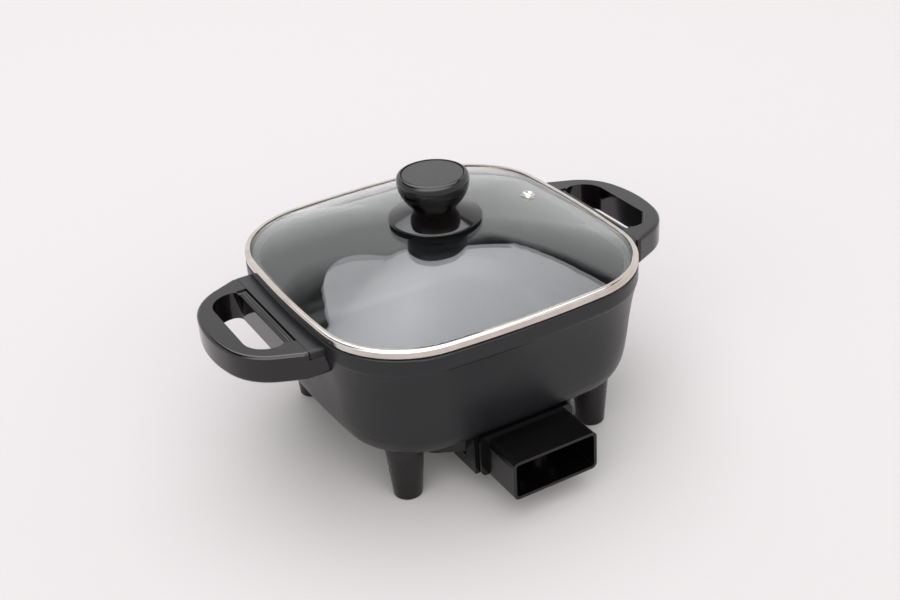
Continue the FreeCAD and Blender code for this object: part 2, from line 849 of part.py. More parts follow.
def make_shroud():
    """Socket shroud: a rectangular tube with a double collar, and a tray under the pan."""
    body = new_body("probe_shroud")
    front = shroud_front
    half = named("shroud_half")
    low = shroud_bottom
    high = shroud_top
    wall = named("shroud_wall")
    back = collar_front - named("collar_pitch") - named("collar_width")
    tube = Drawing(body, "shroud_tube", "XZ_Plane", back)
    tube.rectangle(-half, half, low, high, named("shroud_corner"))
    pad(body, tube, front - back)

    collar_half = named("collar_half")
    for index in range(2):
        place = collar_front - named("collar_width") - named("collar_pitch") * index
        ring = Drawing(body, f"collar_{index}", "XZ_Plane", place)
        ring.rectangle(-collar_half, collar_half, low, collar_top, named("shroud_corner"))
        pad(body, ring, named("collar_width"))

    tray_half = named("tray_half")
    tray_top = pan_bottom - named("handle_gap")
    tray = Drawing(body, "tray", "XY_Plane", low)
    tray.rectangle(-tray_half, tray_half, -back, -tray_back)
    pad(body, tray, tray_top + named("bottom_round") / 2 - low)

    hollow = Drawing(body, "tray_hollow", "XY_Plane", low + wall)
    hollow.rectangle(-tray_half + wall, tray_half - wall, -back, -tray_back - wall)
    pocket(body, hollow, named("bottom_round") * 2)

    bore = Drawing(body, "shroud_bore", "XZ_Plane", back - wall)
    bore.rectangle(-half + wall, half - wall, low + wall, high - wall, named("shroud_corner") - wall * 0.8)
    pocket(body, bore, front, upward=True)

    posts = Drawing(body, "shroud_posts", "XY_Plane", low)
    for side in (1, -1):
        posts.circle((named("post_x") * side, -post_y), named("post_radius"))
    pad(body, posts, post_top - low)

    clear_of_pan(body, "shroud_clearance", "YZ_Plane", -1)

    # Slots where the heater rib and the probe boss leave the tray
    slot_bottom = rib_bottom - named("handle_gap") * 2
    slope = (heater_neck - heater_front) / (heater_half - named("pin_half_spacing"))
    crossing = heater_front + (heater_half - tray_half + wall / 2) * slope
    slot_half = named("rib_half_width") * root(slope * slope + 1) + wall * slope / 2 + named("fit_gap") * 8
    side_slot = Drawing(body, "rib_slots", "YZ_Plane", -tray_half)
    side_slot.rectangle(-crossing - slot_half, -crossing + slot_half, slot_bottom, pan_bottom + named("bottom_round"))
    pocket(body, side_slot, tray_half * 2)

    back_slot = Drawing(body, "probe_slot", "XZ_Plane", tray_back + wall)
    slot_side = named("probe_boss_half") + named("fit_gap") * 8
    back_slot.rectangle(-slot_side, slot_side, slot_bottom, pan_bottom + named("bottom_round"))
    pocket(body, back_slot, wall * 2, upward=False)

    holes = Drawing(body, "post_bores", "XY_Plane", low)
    heads = Drawing(body, "post_heads", "XY_Plane", low)
    for side in (1, -1):
        holes.circle((named("post_x") * side, -post_y), screw_hole)
        heads.circle((named("post_x") * side, -post_y), head_bore)
    pocket(body, holes, post_top)
    pocket(body, heads, named("screw_head_height") * 2)
    return body


def dome_height(half):
    """Height of the glass's upper face where its outline has this half width."""
    share = half / lip_half
    return glass_edge + named("dome_rise") * (1 - share * share)


band_bottom = rim_top + named("lid_gap")
band_top = band_bottom + named("band_height")
glass_low = band_bottom + named("band_sheet")
glass_edge = band_top - named("band_sheet")
glass_thickness = glass_edge - glass_low
seat_height = dome_height(named("seat_half"))
vent_tilt = lean_of(named("dome_rise") * vent_x * 2 / (lip_half * lip_half))


def make_band():
    """Steel band folded round the glass's edge, with the skirt that centres the lid."""
    body = new_body("lid_rim_band")
    sheet_wall = named("band_sheet")
    skirt_out = named("ledge_inset") + named("band_skirt_gap")
    zero = as_size(0)

    def ring(name, height, outer, inner, tall):
        drawing = Drawing(body, name, "XY_Plane", height)
        drawing.square(inset(outer)).square(inset(inner))
        pad(body, drawing, tall)

    ring("band_floor", band_bottom, zero, skirt_out + sheet_wall, sheet_wall)
    ring("band_face", band_bottom, zero, sheet_wall, named("band_height"))
    ring("band_top_lip", glass_edge, zero, named("band_lip"), sheet_wall)
    ring("band_skirt", band_bottom - named("band_skirt_drop"), skirt_out, skirt_out + sheet_wall,
         named("band_skirt_drop") + sheet_wall)

    def crown(edge):
        radius = getattr(edge.Curve, "Radius", 0)
        outer = min(abs(radius - side_bow.value), abs(radius - rim_corner.value)) < 0.01
        return outer and (level(edge, band_top) or level(edge, band_bottom))

    fillet(body, sheet_wall * 0.9, crown)
    return body


def set_on_slope(body):
    """Stand a piece that was turned about +Z square on the glass, at the vent."""
    x, y = vent_x, named("vent_y")
    body.Placement = FreeCAD.Placement(V(0, 0, 0), FreeCAD.Rotation(V(0, 1, 0), vent_tilt.value))
    bind(body, "Placement.Rotation.Angle", vent_tilt)
    bind(body, "Placement.Base.x", x)
    bind(body, "Placement.Base.y", y)
    # Half width of the bowed outline that passes through the vent
    bind(body, "Placement.Base.z", dome_height(x + y * y * rim_half / (x * side_bow * 2)))


def make_vent_drill():
    """The hole for the vent, as a rod to cut from the glass."""
    body = new_body("vent_drill")
    reach = glass_thickness * 2
    radius = named("vent_tube_radius") + fit_gap
    turn(body, Drawing(body, "vent_drill_outline", "XZ_Plane").rectangle(0, radius, -reach, reach))
    set_on_slope(body)
    return body


def make_glass():
    """Domed glass with a flat border, bored for the knob's screw and the vent."""
    body = new_body("lid_glass")
    edge_gap = named("band_sheet") + named("glass_edge_gap")
    border = Drawing(body, "glass_border", "XY_Plane", glass_low).square(inset(edge_gap))
    pad(body, border, glass_thickness)

    rings = [named("dome_outer_half"), named("dome_middle_half"), named("dome_upper_half"), named("seat_half")]

    def dome(name, foot, down):
        sections = []
        for index, half in enumerate([foot] + rings):
            drawing = Drawing(body, f"{name}_{index}", "XY_Plane", dome_height(half) - down)
            sections.append(drawing.square(scaled(half)))
        return sections

    loft(body, dome("dome", lip_half, as_size(0)), ruled=False)
    loft(body, dome("hollow", lip_half, glass_thickness), ruled=False, cut=True)

    screw_bore = Drawing(body, "glass_screw_bore", "XY_Plane", band_bottom)
    screw_bore.circle((0, 0), named("knob_screw_radius") + fit_gap * 4)
    pocket(body, screw_bore, named("dome_rise") * 2)
    subtract(body, make_vent_drill())
    return body


def make_vent():
    """Steel eyelet rolled over both faces of the glass."""
    body = new_body("vent_grommet")
    bore = named("vent_bore_radius")
    tube = named("vent_tube_radius")
    flange = named("vent_flange_radius")
    lip = named("vent_lip")
    deep = glass_thickness + fit_gap
    low = -deep - fit_gap
    outline = [(bore, low - lip), (flange - lip, low - lip), (flange, low), (tube, low),
               (tube, fit_gap), (flange, fit_gap), (flange - lip, fit_gap + lip), (bore + lip, fit_gap + lip),
               (bore, fit_gap)]
    turn(body, Drawing(body, "vent_outline", "XZ_Plane").loop(outline, {1: (lip * 1.4, 1), 5: (lip * 1.4, 1)}))
    set_on_slope(body)
    return body


def make_turned(name, height, outline, arcs=None):
    """A round piece on the lid's middle axis, standing at a height."""
    body = new_body(name)
    drawing = Drawing(body, name + "_outline", "XZ_Plane").loop(outline, arcs)
    feature = turn(body, drawing)
    bind(body, "Placement.Base.z", height)
    return body, feature


def make_knob():
    """Knob, finger guard, cap, threaded insert, screw, washer and the two seals."""
    screw = named("knob_screw_radius")
    clear = screw + fit_gap * 3
    seal = named("seal_thickness")
    make_turned("knob_gasket", seat_height,
                [(clear, 0), (named("seal_radius"), 0), (named("seal_radius"), seal), (clear, seal)])

    guard_base = seat_height + seal
    waist = named("waist_radius")
    rim = named("skirt_radius")
    drop = named("skirt_rim_drop")
    tall = named("skirt_height")
    edge = named("skirt_rim") / 2
    outline = [(clear, 0), (named("seal_radius"), 0), (rim - edge, -drop), (rim - edge * 1.2, edge * 1.9 - drop),
               (waist, tall), (clear, tall)]
    make_turned("knob_skirt", guard_base, outline, {2: (edge, 1), 3: (named("skirt_flare"), -1)})

    knob_base = guard_base + tall
    knob_top = named("knob_height")
    wide = named("knob_radius")
    brim = named("knob_brim")
    soft = named("knob_edge_round")
    cap = named("cap_radius") + named("cap_gap")
    recess = knob_top - named("cap_depth") - named("cap_sink")
    insert = named("insert_radius") + thread_gap
    deep = named("insert_length") + fit_gap
    neck = waist - fit_gap * 2
    outline = [(insert, 0), (neck, 0), (neck, named("knob_neck")), (wide, knob_top - brim),
               (wide - soft * 0.45, knob_top), (cap, knob_top - named("cap_sink")), (cap, recess), (0, recess),
               (0, deep), (insert, deep)]
    arcs = {2: (named("knob_bowl"), 1), 3: (soft, 1), 4: (soft * 3, 1)}
    make_turned("lid_knob", knob_base, outline, arcs)

    cap_edge = named("cap_depth") / 4
    disc = named("cap_radius")
    thick = named("cap_depth")
    make_turned("knob_cap", knob_base + recess,
                [(0, 0), (disc, 0), (disc, thick - cap_edge), (disc - cap_edge, thick), (0, thick)])

    make_turned("knob_insert", knob_base,
                [(screw + thread_gap, 0), (named("insert_radius"), 0), (named("insert_radius"), named("insert_length")),
                 (screw + thread_gap, named("insert_length"))])

    under = seat_height - glass_thickness
    make_turned("knob_seal", under - seal,
                [(clear, 0), (named("washer_radius") + seal, 0), (named("washer_radius") + seal, seal), (clear, seal)])
    flat = named("washer_thickness")
    make_turned("knob_washer", under - seal - flat,
                [(clear, 0), (named("washer_radius"), 0), (named("washer_radius"), flat), (clear, flat)])
    head = named("knob_screw_head")
    high = named("knob_screw_head_height")
    reach = knob_base + named("knob_screw_reach") - under + seal + flat
    body, _ = make_turned("knob_screw", under - seal - flat,
                          [(0, -high), (head * 0.55, -high), (head, -high * 0.35), (head, 0), (screw, 0),
                           (screw, reach - screw / 2), (screw / 2, reach), (0, reach)],
                          {1: (head * 0.9, 1)})
    slot = Drawing(body, "knob_screw_slot", "XY_Plane", -high)
    slot.rectangle(-head * 2, head * 2, -head * 0.13, head * 0.13)
    pocket(body, slot, high * 0.45)


make_pan()
make_heater()
handle = make_handle()
leg = make_leg()
make_shroud()
make_band()
make_glass()
make_vent()
make_knob()
tongue_under = lug_top - named("handle_height") + named("screw_head_height") * 2
lug_under = lug_top - named("lug_thickness")
post_under = shroud_bottom + named("screw_head_height") * 2
handle_screw = make_screw("handle_screw", lug_under - tongue_under)
leg_screw = make_screw("leg_screw", named("leg_height") - named("leg_bore_depth"))
post_screw = make_screw("post_screw", post_top - post_under)
doc.recompute()

copy_of(handle, "handle_left", 180.0)
pitch = leg_pitch.value
for name, x, y in (("leg_front_left", -1, -1), ("leg_rear_left", -1, 1), ("leg_rear_right", 1, 1)):
    copy_of(leg, name, centres=[(x * pitch, y * pitch, 0)])
copy_of(leg_screw, "leg_screws",
        centres=[(x * pitch, y * pitch, named("leg_bore_depth").value) for x, y in corners])
copy_of(post_screw, "shroud_screws",
        centres=[(side * named("post_x").value, -post_y.value, post_under.value) for side in (1, -1)])
for name, side in (("handle_screws_right", 1), ("handle_screws_left", -1)):
    copy_of(handle_screw, name,
            centres=[(side * handle_screw_x.value, along * named("handle_screw_y").value,
                      tongue_under.value) for along in (1, -1)])

patterns_only = {"handle_screw", "leg_screw", "post_screw", "pan_hollow", "vent_drill"}
doc.recompute()
for thing in doc.Objects:
    if "Invalid" in thing.State or "Error" in thing.State:
        raise RuntimeError(f"{thing.Label} did not build: {thing.State}")
pieces = [thing for thing in doc.Objects
          if thing.TypeId in ("PartDesign::Body", "Part::Feature") and thing.Label not in patterns_only]
os.makedirs("parts", exist_ok=True)
for piece in pieces:
    if piece.Shape.isNull() or not piece.Shape.isValid():
        raise RuntimeError(f"{piece.Label} is not a sound solid")
    piece.Shape.exportStep(f"parts/{piece.Label}.step")
    box = piece.Shape.BoundBox
    print(f"{piece.Label}: {len(piece.Shape.Solids)} solid, {piece.Shape.Volume / 1000:.2f} cm3, "
          f"x {box.XMin:.1f}..{box.XMax:.1f} y {box.YMin:.1f}..{box.YMax:.1f} z {box.ZMin:.1f}..{box.ZMax:.1f}")
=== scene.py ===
"""Looks of a square electric skillet with a lift-off glass lid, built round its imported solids.

Every size is in metres, in the frame of the solids: +Z is up, the heat-control socket
faces -Y, and the origin is on the table under the middle of the pan.
"""
import logging
import math
from dataclasses import dataclass, field
from enum import Enum
from typing import Any, Iterable, Mapping, Sequence

import bmesh
import bpy
from mathutils import Matrix, Vector


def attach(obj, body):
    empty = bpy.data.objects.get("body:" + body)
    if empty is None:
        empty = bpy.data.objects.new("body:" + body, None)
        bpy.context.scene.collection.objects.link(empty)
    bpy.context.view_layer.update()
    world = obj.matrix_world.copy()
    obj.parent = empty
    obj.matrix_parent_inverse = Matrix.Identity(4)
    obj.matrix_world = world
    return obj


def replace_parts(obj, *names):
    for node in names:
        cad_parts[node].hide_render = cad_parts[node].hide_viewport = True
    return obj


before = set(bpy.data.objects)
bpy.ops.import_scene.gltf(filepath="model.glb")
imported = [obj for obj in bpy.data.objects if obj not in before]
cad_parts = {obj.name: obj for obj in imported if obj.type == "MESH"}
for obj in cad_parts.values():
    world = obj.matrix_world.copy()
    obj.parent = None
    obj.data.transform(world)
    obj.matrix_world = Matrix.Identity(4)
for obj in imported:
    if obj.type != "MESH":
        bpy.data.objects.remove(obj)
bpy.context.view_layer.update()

LOG = logging.getLogger("skillet")
MM = 0.001
# Levels between which a noise mostly stays, and how rough its finer octaves are
NOISE_LOW, NOISE_HIGH = 0.3, 0.7
PATCH_ROUGHNESS = 0.55
# Points nearer than this are one point, and edges sharper than this stay sharp in shading
MERGE_MM = 0.001
SHARP_DEGREES = 38
NODES: dict[str, bpy.types.Object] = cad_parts


def linear(hex_code: str) -> tuple[float, float, float, float]:
    """Turn an sRGB hex colour into a linear one.

    Args:
        hex_code: six hex digits, with or without a leading hash.

    Returns:
        Red, green, blue and an alpha of 1, all linear.
    """
    digits = hex_code.lstrip("#")
    channels = [int(digits[place:place + 2], 16) / 255 for place in (0, 2, 4)]
    low_slope, threshold, offset, power = 12.92, 0.04045, 0.055, 2.4
    values = [c / low_slope if c <= threshold else ((c + offset) / (1 + offset)) ** power
              for c in channels]
    return values[0], values[1], values[2], 1.0


def per_metre(pattern_mm: float) -> float:
    """Work out a pattern's scale from its real size.

    Args:
        pattern_mm: how wide the pattern's features are, in millimetres.

    Returns:
        The scale, in features for each metre of object coordinates.
    """
    return 1.0 / (pattern_mm * MM)


def node(tree: bpy.types.NodeTree, kind: str, inputs: Mapping[Any, Any] | None = None,
         **settings: Any) -> bpy.types.Node:
    """Add a node with its settings and links.

    Args:
        tree: the node tree it goes into.
        kind: the node's type name.
        inputs: socket name or number to a value, or to the output socket that feeds it.
        **settings: the node's own properties.

    Returns:
        The new node.
    """
    made = tree.nodes.new(kind)
    for name, value in settings.items():
        setattr(made, name, value)
    for name, value in (inputs or {}).items():
        if isinstance(value, bpy.types.NodeSocket):
            tree.links.new(value, made.inputs[name])
        else:
            made.inputs[name].default_value = value
    return made


def ramp(tree: bpy.types.NodeTree, factor: bpy.types.NodeSocket,
         stops: Sequence[tuple[float, Any]]) -> bpy.types.NodeSocket:
    """Spread a factor over colours or grey levels.

    Args:
        tree: the node tree it goes into.
        factor: the socket that drives the ramp.
        stops: two places from 0 to 1, each with a hex colour or a grey level.

    Returns:
        The ramp's colour socket.
    """
    made = node(tree, "ShaderNodeValToRGB", {"Fac": factor})
    for element, (place, value) in zip(made.color_ramp.elements, stops):
        element.position = place
        element.color = linear(value) if isinstance(value, str) else (value, value, value, 1.0)
    return made.outputs["Color"]


@dataclass(frozen=True)
class Finish:
    """What every finish has: a name, a base colour and how its surface answers light."""

    name: str
    colour: str
    roughness: float
    ior: float = 1.5
    metallic: float = 0.0

    def start(self) -> tuple[bpy.types.NodeTree, bpy.types.Node, bpy.types.NodeSocket,
                             bpy.types.Material]:
        """Make the material with its shader.

        Returns:
            The node tree, the Principled shader, object coordinates, and the material.
        """
        material = bpy.data.materials.new(self.name)
        material.use_nodes = True
        tree = material.node_tree
        tree.nodes.clear()
        place = node(tree, "ShaderNodeTexCoord").outputs["Object"]
        shader = node(tree, "ShaderNodeBsdfPrincipled",
                      {"Base Color": linear(self.colour), "Roughness": self.roughness,
                       "Metallic": self.metallic})
        if self.metallic < 1:
            shader.inputs["IOR"].default_value = self.ior
        node(tree, "ShaderNodeOutputMaterial", {"Surface": shader.outputs["BSDF"]})
        return tree, shader, place, material

    def make(self) -> bpy.types.Material:
        """Build the material, which each kind of finish does in its own way.

        Returns:
            The new material.
        """
        raise NotImplementedError


def mottled(tree: bpy.types.NodeTree, place: bpy.types.NodeSocket, size_mm: float, low: float,
            high: float) -> bpy.types.NodeSocket:
    """Grey levels that drift between two values over patches of a real size.

    Args:
        tree: the node tree it goes into.
        place: the coordinates.
        size_mm: how wide the patches are.
        low: the lowest level.
        high: the highest level.

    Returns:
        The level's socket.
    """
    noise = node(tree, "ShaderNodeTexNoise",
                 {"Vector": place, "Scale": per_metre(size_mm), "Detail": 3.0,
                  "Roughness": PATCH_ROUGHNESS})
    levels = node(tree, "ShaderNodeMapRange",
                  {"Value": noise.outputs["Fac"], "From Min": NOISE_LOW, "From Max": NOISE_HIGH,
                   "To Min": low, "To Max": high})
    return levels.outputs["Result"]


@dataclass(frozen=True)
class NonStickCoating(Finish):
    """Fluoropolymer coating, sprayed on die-cast aluminium and baked.

    The spray leaves a fine orange peel, which breaks the gloss into a satin, and the
    flakes in the top coat give a faint speckle.
    """

    peel_mm: float = 0.8
    peel_strength: float = 0.3
    peel_depth_mm: float = 0.005
    speckle_mm: float = 0.45
    speckle_colour: str = "#1a1a1d"
    # Noise levels at which the flakes begin and are full
    speckle_band: tuple[float, float] = (0.45, 0.72)
    smear_mm: float = 34.0
    smear_range: tuple[float, float] = (0.86, 1.16)

    def make(self) -> bpy.types.Material:
        """Build the material.

        Returns:
            The new material.
        """
        tree, shader, place, material = self.start()
        speckle = node(tree, "ShaderNodeTexNoise",
                       {"Vector": place, "Scale": per_metre(self.speckle_mm), "Detail": 2.0})
        begin, full = self.speckle_band
        colour = ramp(tree, speckle.outputs["Fac"],
                      [(begin, self.colour), (full, self.speckle_colour)])
        tree.links.new(colour, shader.inputs["Base Color"])
        # Handling and wiping leave broad patches that are a little duller
        gloss, dull = self.smear_range
        rough = mottled(tree, place, self.smear_mm, self.roughness * gloss, self.roughness * dull)
        tree.links.new(rough, shader.inputs["Roughness"])
        peel = node(tree, "ShaderNodeTexNoise",
                    {"Vector": place, "Scale": per_metre(self.peel_mm), "Detail": 1.0})
        bump = node(tree, "ShaderNodeBump",
                    {"Height": peel.outputs["Fac"], "Strength": self.peel_strength,
                     "Distance": self.peel_depth_mm * MM})
        tree.links.new(bump.outputs["Normal"], shader.inputs["Normal"])
        return material


@dataclass(frozen=True)
class PhenolicMoulding(Finish):
    """Phenolic resin, compression moulded in a polished tool.

    It comes out glossy and almost black, with a very slow waviness from shrinkage that
    bends the edges of reflections, and fine dust spread in random specks all over.
    """

    wave_mm: float = 22.0
    wave_strength: float = 0.4
    wave_depth_mm: float = 0.06
    gloss_range: tuple[float, float] = (0.75, 1.35)
    dust_mm: float = 0.5
    dust_strength: float = 0.12
    dust_depth_mm: float = 0.01
    dust_colour: str = "#151313"
    # Noise levels at which the dust begins and is full
    dust_band: tuple[float, float] = (0.62, 0.8)

    def make(self) -> bpy.types.Material:
        """Build the material.

        Returns:
            The new material.
        """
        tree, shader, place, material = self.start()
        gloss, dull = self.gloss_range
        rough = mottled(tree, place, self.wave_mm, self.roughness * gloss, self.roughness * dull)
        tree.links.new(rough, shader.inputs["Roughness"])
        wave = node(tree, "ShaderNodeTexNoise",
                    {"Vector": place, "Scale": per_metre(self.wave_mm), "Detail": 0.5})
        grain = node(tree, "ShaderNodeTexNoise",
                     {"Vector": place, "Scale": per_metre(self.dust_mm), "Detail": 2.0})
        slow = node(tree, "ShaderNodeBump",
                    {"Height": wave.outputs["Fac"], "Strength": self.wave_strength,
                     "Distance": self.wave_depth_mm * MM})
        fine = node(tree, "ShaderNodeBump",
                    {"Height": grain.outputs["Fac"], "Strength": self.dust_strength,
                     "Distance": self.dust_depth_mm * MM, "Normal": slow.outputs["Normal"]})
        tree.links.new(fine.outputs["Normal"], shader.inputs["Normal"])
        begin, full = self.dust_band
        dust = ramp(tree, grain.outputs["Fac"], [(begin, self.colour), (full, self.dust_colour)])
        tree.links.new(dust, shader.inputs["Base Color"])
        return material


@dataclass(frozen=True)
class RolledSteel(Finish):
    """Stainless strip, roll formed and buffed.

    The buffing wheel runs along the strip, so its hair lines lie level and stretch the
    highlights upward.
    """

    metallic: float = 1.0
    hair_mm: float = 0.16
    hair_strength: float = 0.15
    hair_depth_mm: float = 0.01
    # How much the hair lines are squeezed along the strip's run, so that they come out long
    hair_squeeze: float = 0.02
    buff_range: tuple[float, float] = (0.6, 1.5)
    tint_mm: float = 18.0
    tint_colour: str = "#c4bab0"

    def make(self) -> bpy.types.Material:
        """Build the material.

        Returns:
            The new material.
        """
        tree, shader, place, material = self.start()
        level = node(tree, "ShaderNodeMapping",
                     {"Vector": place, "Scale": (self.hair_squeeze, self.hair_squeeze, 1.0)})
        hair = node(tree, "ShaderNodeTexNoise",
                    {"Vector": level.outputs["Vector"], "Scale": per_metre(self.hair_mm), "Detail": 2.0})
        bright, dull = self.buff_range
        rough = node(tree, "ShaderNodeMapRange",
                     {"Value": hair.outputs["Fac"], "To Min": self.roughness * bright,
                      "To Max": self.roughness * dull})
        tree.links.new(rough.outputs["Result"], shader.inputs["Roughness"])
        tint = mottled(tree, place, self.tint_mm, 0.0, 1.0)
        colour = ramp(tree, tint, [(0.0, self.colour), (1.0, self.tint_colour)])
        tree.links.new(colour, shader.inputs["Base Color"])
        bump = node(tree, "ShaderNodeBump",
                    {"Height": hair.outputs["Fac"], "Strength": self.hair_strength,
                     "Distance": self.hair_depth_mm * MM})
        tree.links.new(bump.outputs["Normal"], shader.inputs["Normal"])
        return material


@dataclass(frozen=True)
class TemperedGlass(Finish):
    """Soda-lime glass, bent over a mould and tempered.

    The rollers and the quench leave a slow waviness that makes mirrored edges wander.
    """

    wave_mm: float = 46.0
    wave_strength: float = 0.3
    wave_depth_mm: float = 0.5
    shadow_tint: str = "#e6eceb"

    def make(self) -> bpy.types.Material:
        """Build the material.

        Returns:
            The new material.
        """
        tree, shader, place, material = self.start()
        shader.inputs["Transmission Weight"].default_value = 1.0
        wave = node(tree, "ShaderNodeTexNoise",
                    {"Vector": place, "Scale": per_metre(self.wave_mm), "Detail": 1.5})
        bump = node(tree, "ShaderNodeBump",
                    {"Height": wave.outputs["Fac"], "Strength": self.wave_strength,
                     "Distance": self.wave_depth_mm * MM})
        tree.links.new(bump.outputs["Normal"], shader.inputs["Normal"])
        # Light that only passes on to the pan goes straight through, as through a real sheet
        path = node(tree, "ShaderNodeLightPath")
        passing = node(tree, "ShaderNodeMath",
                       {0: path.outputs["Is Shadow Ray"], 1: path.outputs["Is Diffuse Ray"]},
                       operation="MAXIMUM")
        clear = node(tree, "ShaderNodeBsdfTransparent", {"Color": linear(self.shadow_tint)})
        mixed = node(tree, "ShaderNodeMixShader",
                     {0: passing.outputs[0], 1: shader.outputs["BSDF"], 2: clear.outputs["BSDF"]})
        output = next(n for n in tree.nodes if n.type == "OUTPUT_MATERIAL")
        tree.links.new(mixed.outputs["Shader"], output.inputs["Surface"])
        return material


@dataclass(frozen=True)
class PlainPiece(Finish):
    """A small piece with a cast, turned or moulded surface that varies a little."""

    patch_mm: float = 3.0
    second_colour: str = "#808080"
    bump_mm: float = 0.02
    bump_strength: float = 0.4
    gloss_range: tuple[float, float] = (0.8, 1.2)

    def make(self) -> bpy.types.Material:
        """Build the material.

        Returns:
            The new material.
        """
        tree, shader, place, material = self.start()
        level = mottled(tree, place, self.patch_mm, 0.0, 1.0)
        colour = ramp(tree, level, [(0.0, self.colour), (1.0, self.second_colour)])
        tree.links.new(colour, shader.inputs["Base Color"])
        gloss, dull = self.gloss_range
        rough = mottled(tree, place, self.patch_mm, self.roughness * gloss, self.roughness * dull)
        tree.links.new(rough, shader.inputs["Roughness"])
        bump = node(tree, "ShaderNodeBump",
                    {"Height": level, "Strength": self.bump_strength, "Distance": self.bump_mm * MM})
        tree.links.new(bump.outputs["Normal"], shader.inputs["Normal"])
        return material


class Skin(Enum):
    """The finishes of the skillet, each named for its material and how it was made."""

    PAN = NonStickCoating("sprayed_non_stick_coating", "#0f0f11", 0.36, 1.42)
    HANDLE = PhenolicMoulding("moulded_phenolic_gloss", "#060404", 0.1, 1.52)
    LEG = PhenolicMoulding("moulded_phenolic_satin", "#0a0807", 0.27, 1.46)
    SHROUD = PhenolicMoulding("moulded_phenolic_shroud", "#040304", 0.2, 1.45,
                              dust_colour="#0b0a0a")
    CAP = PhenolicMoulding("moulded_phenolic_cap", "#141314", 0.27, 1.52)
    BAND = RolledSteel("rolled_stainless_strip", "#d6cfc8", 0.1)
    GLASS = TemperedGlass("bent_tempered_glass", "#fafdfc", 0.0, 1.52)
    SEAL = PlainPiece("moulded_silicone", "#161616", 0.6, 1.41, second_colour="#1f1f1f")
    SCREW = PlainPiece("nickel_plated_steel", "#b7b3ad", 0.3, metallic=1.0, patch_mm=1.2,
                       second_colour="#9c9892")
    BEAD = PlainPiece("glazed_steatite", "#e4dfd4", 0.35, 1.55, second_colour="#d5cec0")
    BRASS = PlainPiece("turned_brass", "#c9a55c", 0.28, metallic=1.0, second_colour="#b08d48")


class Wardrobe:
    """Makes each finish once and puts it on pieces."""

    def __init__(self) -> None:
        """Start with no finish made."""
        self.made: dict[Skin, bpy.types.Material] = {}

    def of(self, skin: Skin) -> bpy.types.Material:
        """Fetch a finish's material, and make it on its first use.

        Args:
            skin: the finish.

        Returns:
            Its material.
        """
        if skin not in self.made:
            self.made[skin] = skin.value.make()
        return self.made[skin]

    def dress(self, piece: bpy.types.Object, skin: Skin) -> None:
        """Give a piece one finish all over.

        Args:
            piece: the object to dress.
            skin: the finish it gets.
        """
        if not piece.material_slots:
            piece.data.materials.append(None)
        for place in piece.material_slots:
            place.material = self.of(skin)
        LOG.info("%s wears %s", piece.name, skin.value.name)


def smooth_run(points: Sequence[tuple[float, float]], steps: int = 6) -> list[tuple[float, float]]:
    """Draw a smooth line through points.

    Args:
        points: the places that the line passes, in millimetres.
        steps: how many pieces each stretch between two of them gets.

    Returns:
        Points along the line, with both ends.
    """
    ends = [points[0], *points, points[-1]]
    run = []
    for before, start, stop, after in zip(ends, ends[1:], ends[2:], ends[3:]):
        for step in range(steps):
            t = step / steps
            # The cubic that passes both middle points with the slope of their neighbours
            run.append(tuple(
                0.5 * (2 * b + (c - a) * t + (2 * a - 5 * b + 4 * c - d) * t**2
                       + (3 * b - a - 3 * c + d) * t**3)
                for a, b, c, d in zip(before, start, stop, after)))
    run.append(tuple(points[-1]))
    return run


def skin_rings(name: str, rings: Sequence[Sequence[Vector]]) -> bpy.types.Object:
    """Span a closed surface over rings that follow each other in a loop.

    Args:
        name: the new object's name.
        rings: rings of equally many points, in metres.

    Returns:
        The object, smooth shaded and linked to the scene.
    """
    shape = bmesh.new()
    rows = [[shape.verts.new(point) for point in ring] for ring in rings]
    for index, row in enumerate(rows):
        after = rows[(index + 1) % len(rows)]
        for place in range(len(row)):
            beside = (place + 1) % len(row)
            shape.faces.new((row[place], row[beside], after[beside], after[place]))
    bmesh.ops.remove_doubles(shape, verts=shape.verts, dist=MERGE_MM * MM)
    bmesh.ops.recalc_face_normals(shape, faces=shape.faces)
    for face in shape.faces:
        face.smooth = True
    mesh = bpy.data.meshes.new(name)
    shape.to_mesh(mesh)
    shape.free()
    mesh.set_sharp_from_angle(angle=math.radians(SHARP_DEGREES))
    made = bpy.data.objects.new(name, mesh)
    bpy.context.scene.collection.objects.link(made)
    return made


@dataclass(frozen=True)
class BowedSquare:
    """The outline that the pan's rim and the lid share: bowed sides and round corners.

    Its sizes are in millimetres.
    """

    half: float = 120.0
    bow: float = 755.0
    corner: float = 65.0
    steps: int = 14

    def ring(self, inset: float, height: float) -> list[Vector]:
        """Walk once round the outline.

        Args:
            inset: how far inside the rim's outline the ring lies.
            height: the ring's height.

        Returns:
            The ring's points, in metres.
        """
        offset = self.bow - self.half
        reach = self.bow - self.corner
        middle = (math.sqrt(2 * reach**2 - offset**2) - offset) / 2
        lean = math.atan2(middle, middle + offset)
        points = []
        for quarter in range(4):
            turn = quarter * math.pi / 2
            for centre, radius, start, stop in (
                    (Vector((-offset, 0)), self.bow - inset, -lean, lean),
                    (Vector((middle, middle)), self.corner - inset, lean, math.pi / 2 - lean)):
                for step in range(self.steps):
                    angle = start + (stop - start) * step / self.steps
                    x = centre.x + radius * math.cos(angle)
                    y = centre.y + radius * math.sin(angle)
                    points.append(MM * Vector((x * math.cos(turn) - y * math.sin(turn),
                                               x * math.sin(turn) + y * math.cos(turn),
                                               height)))
        return points


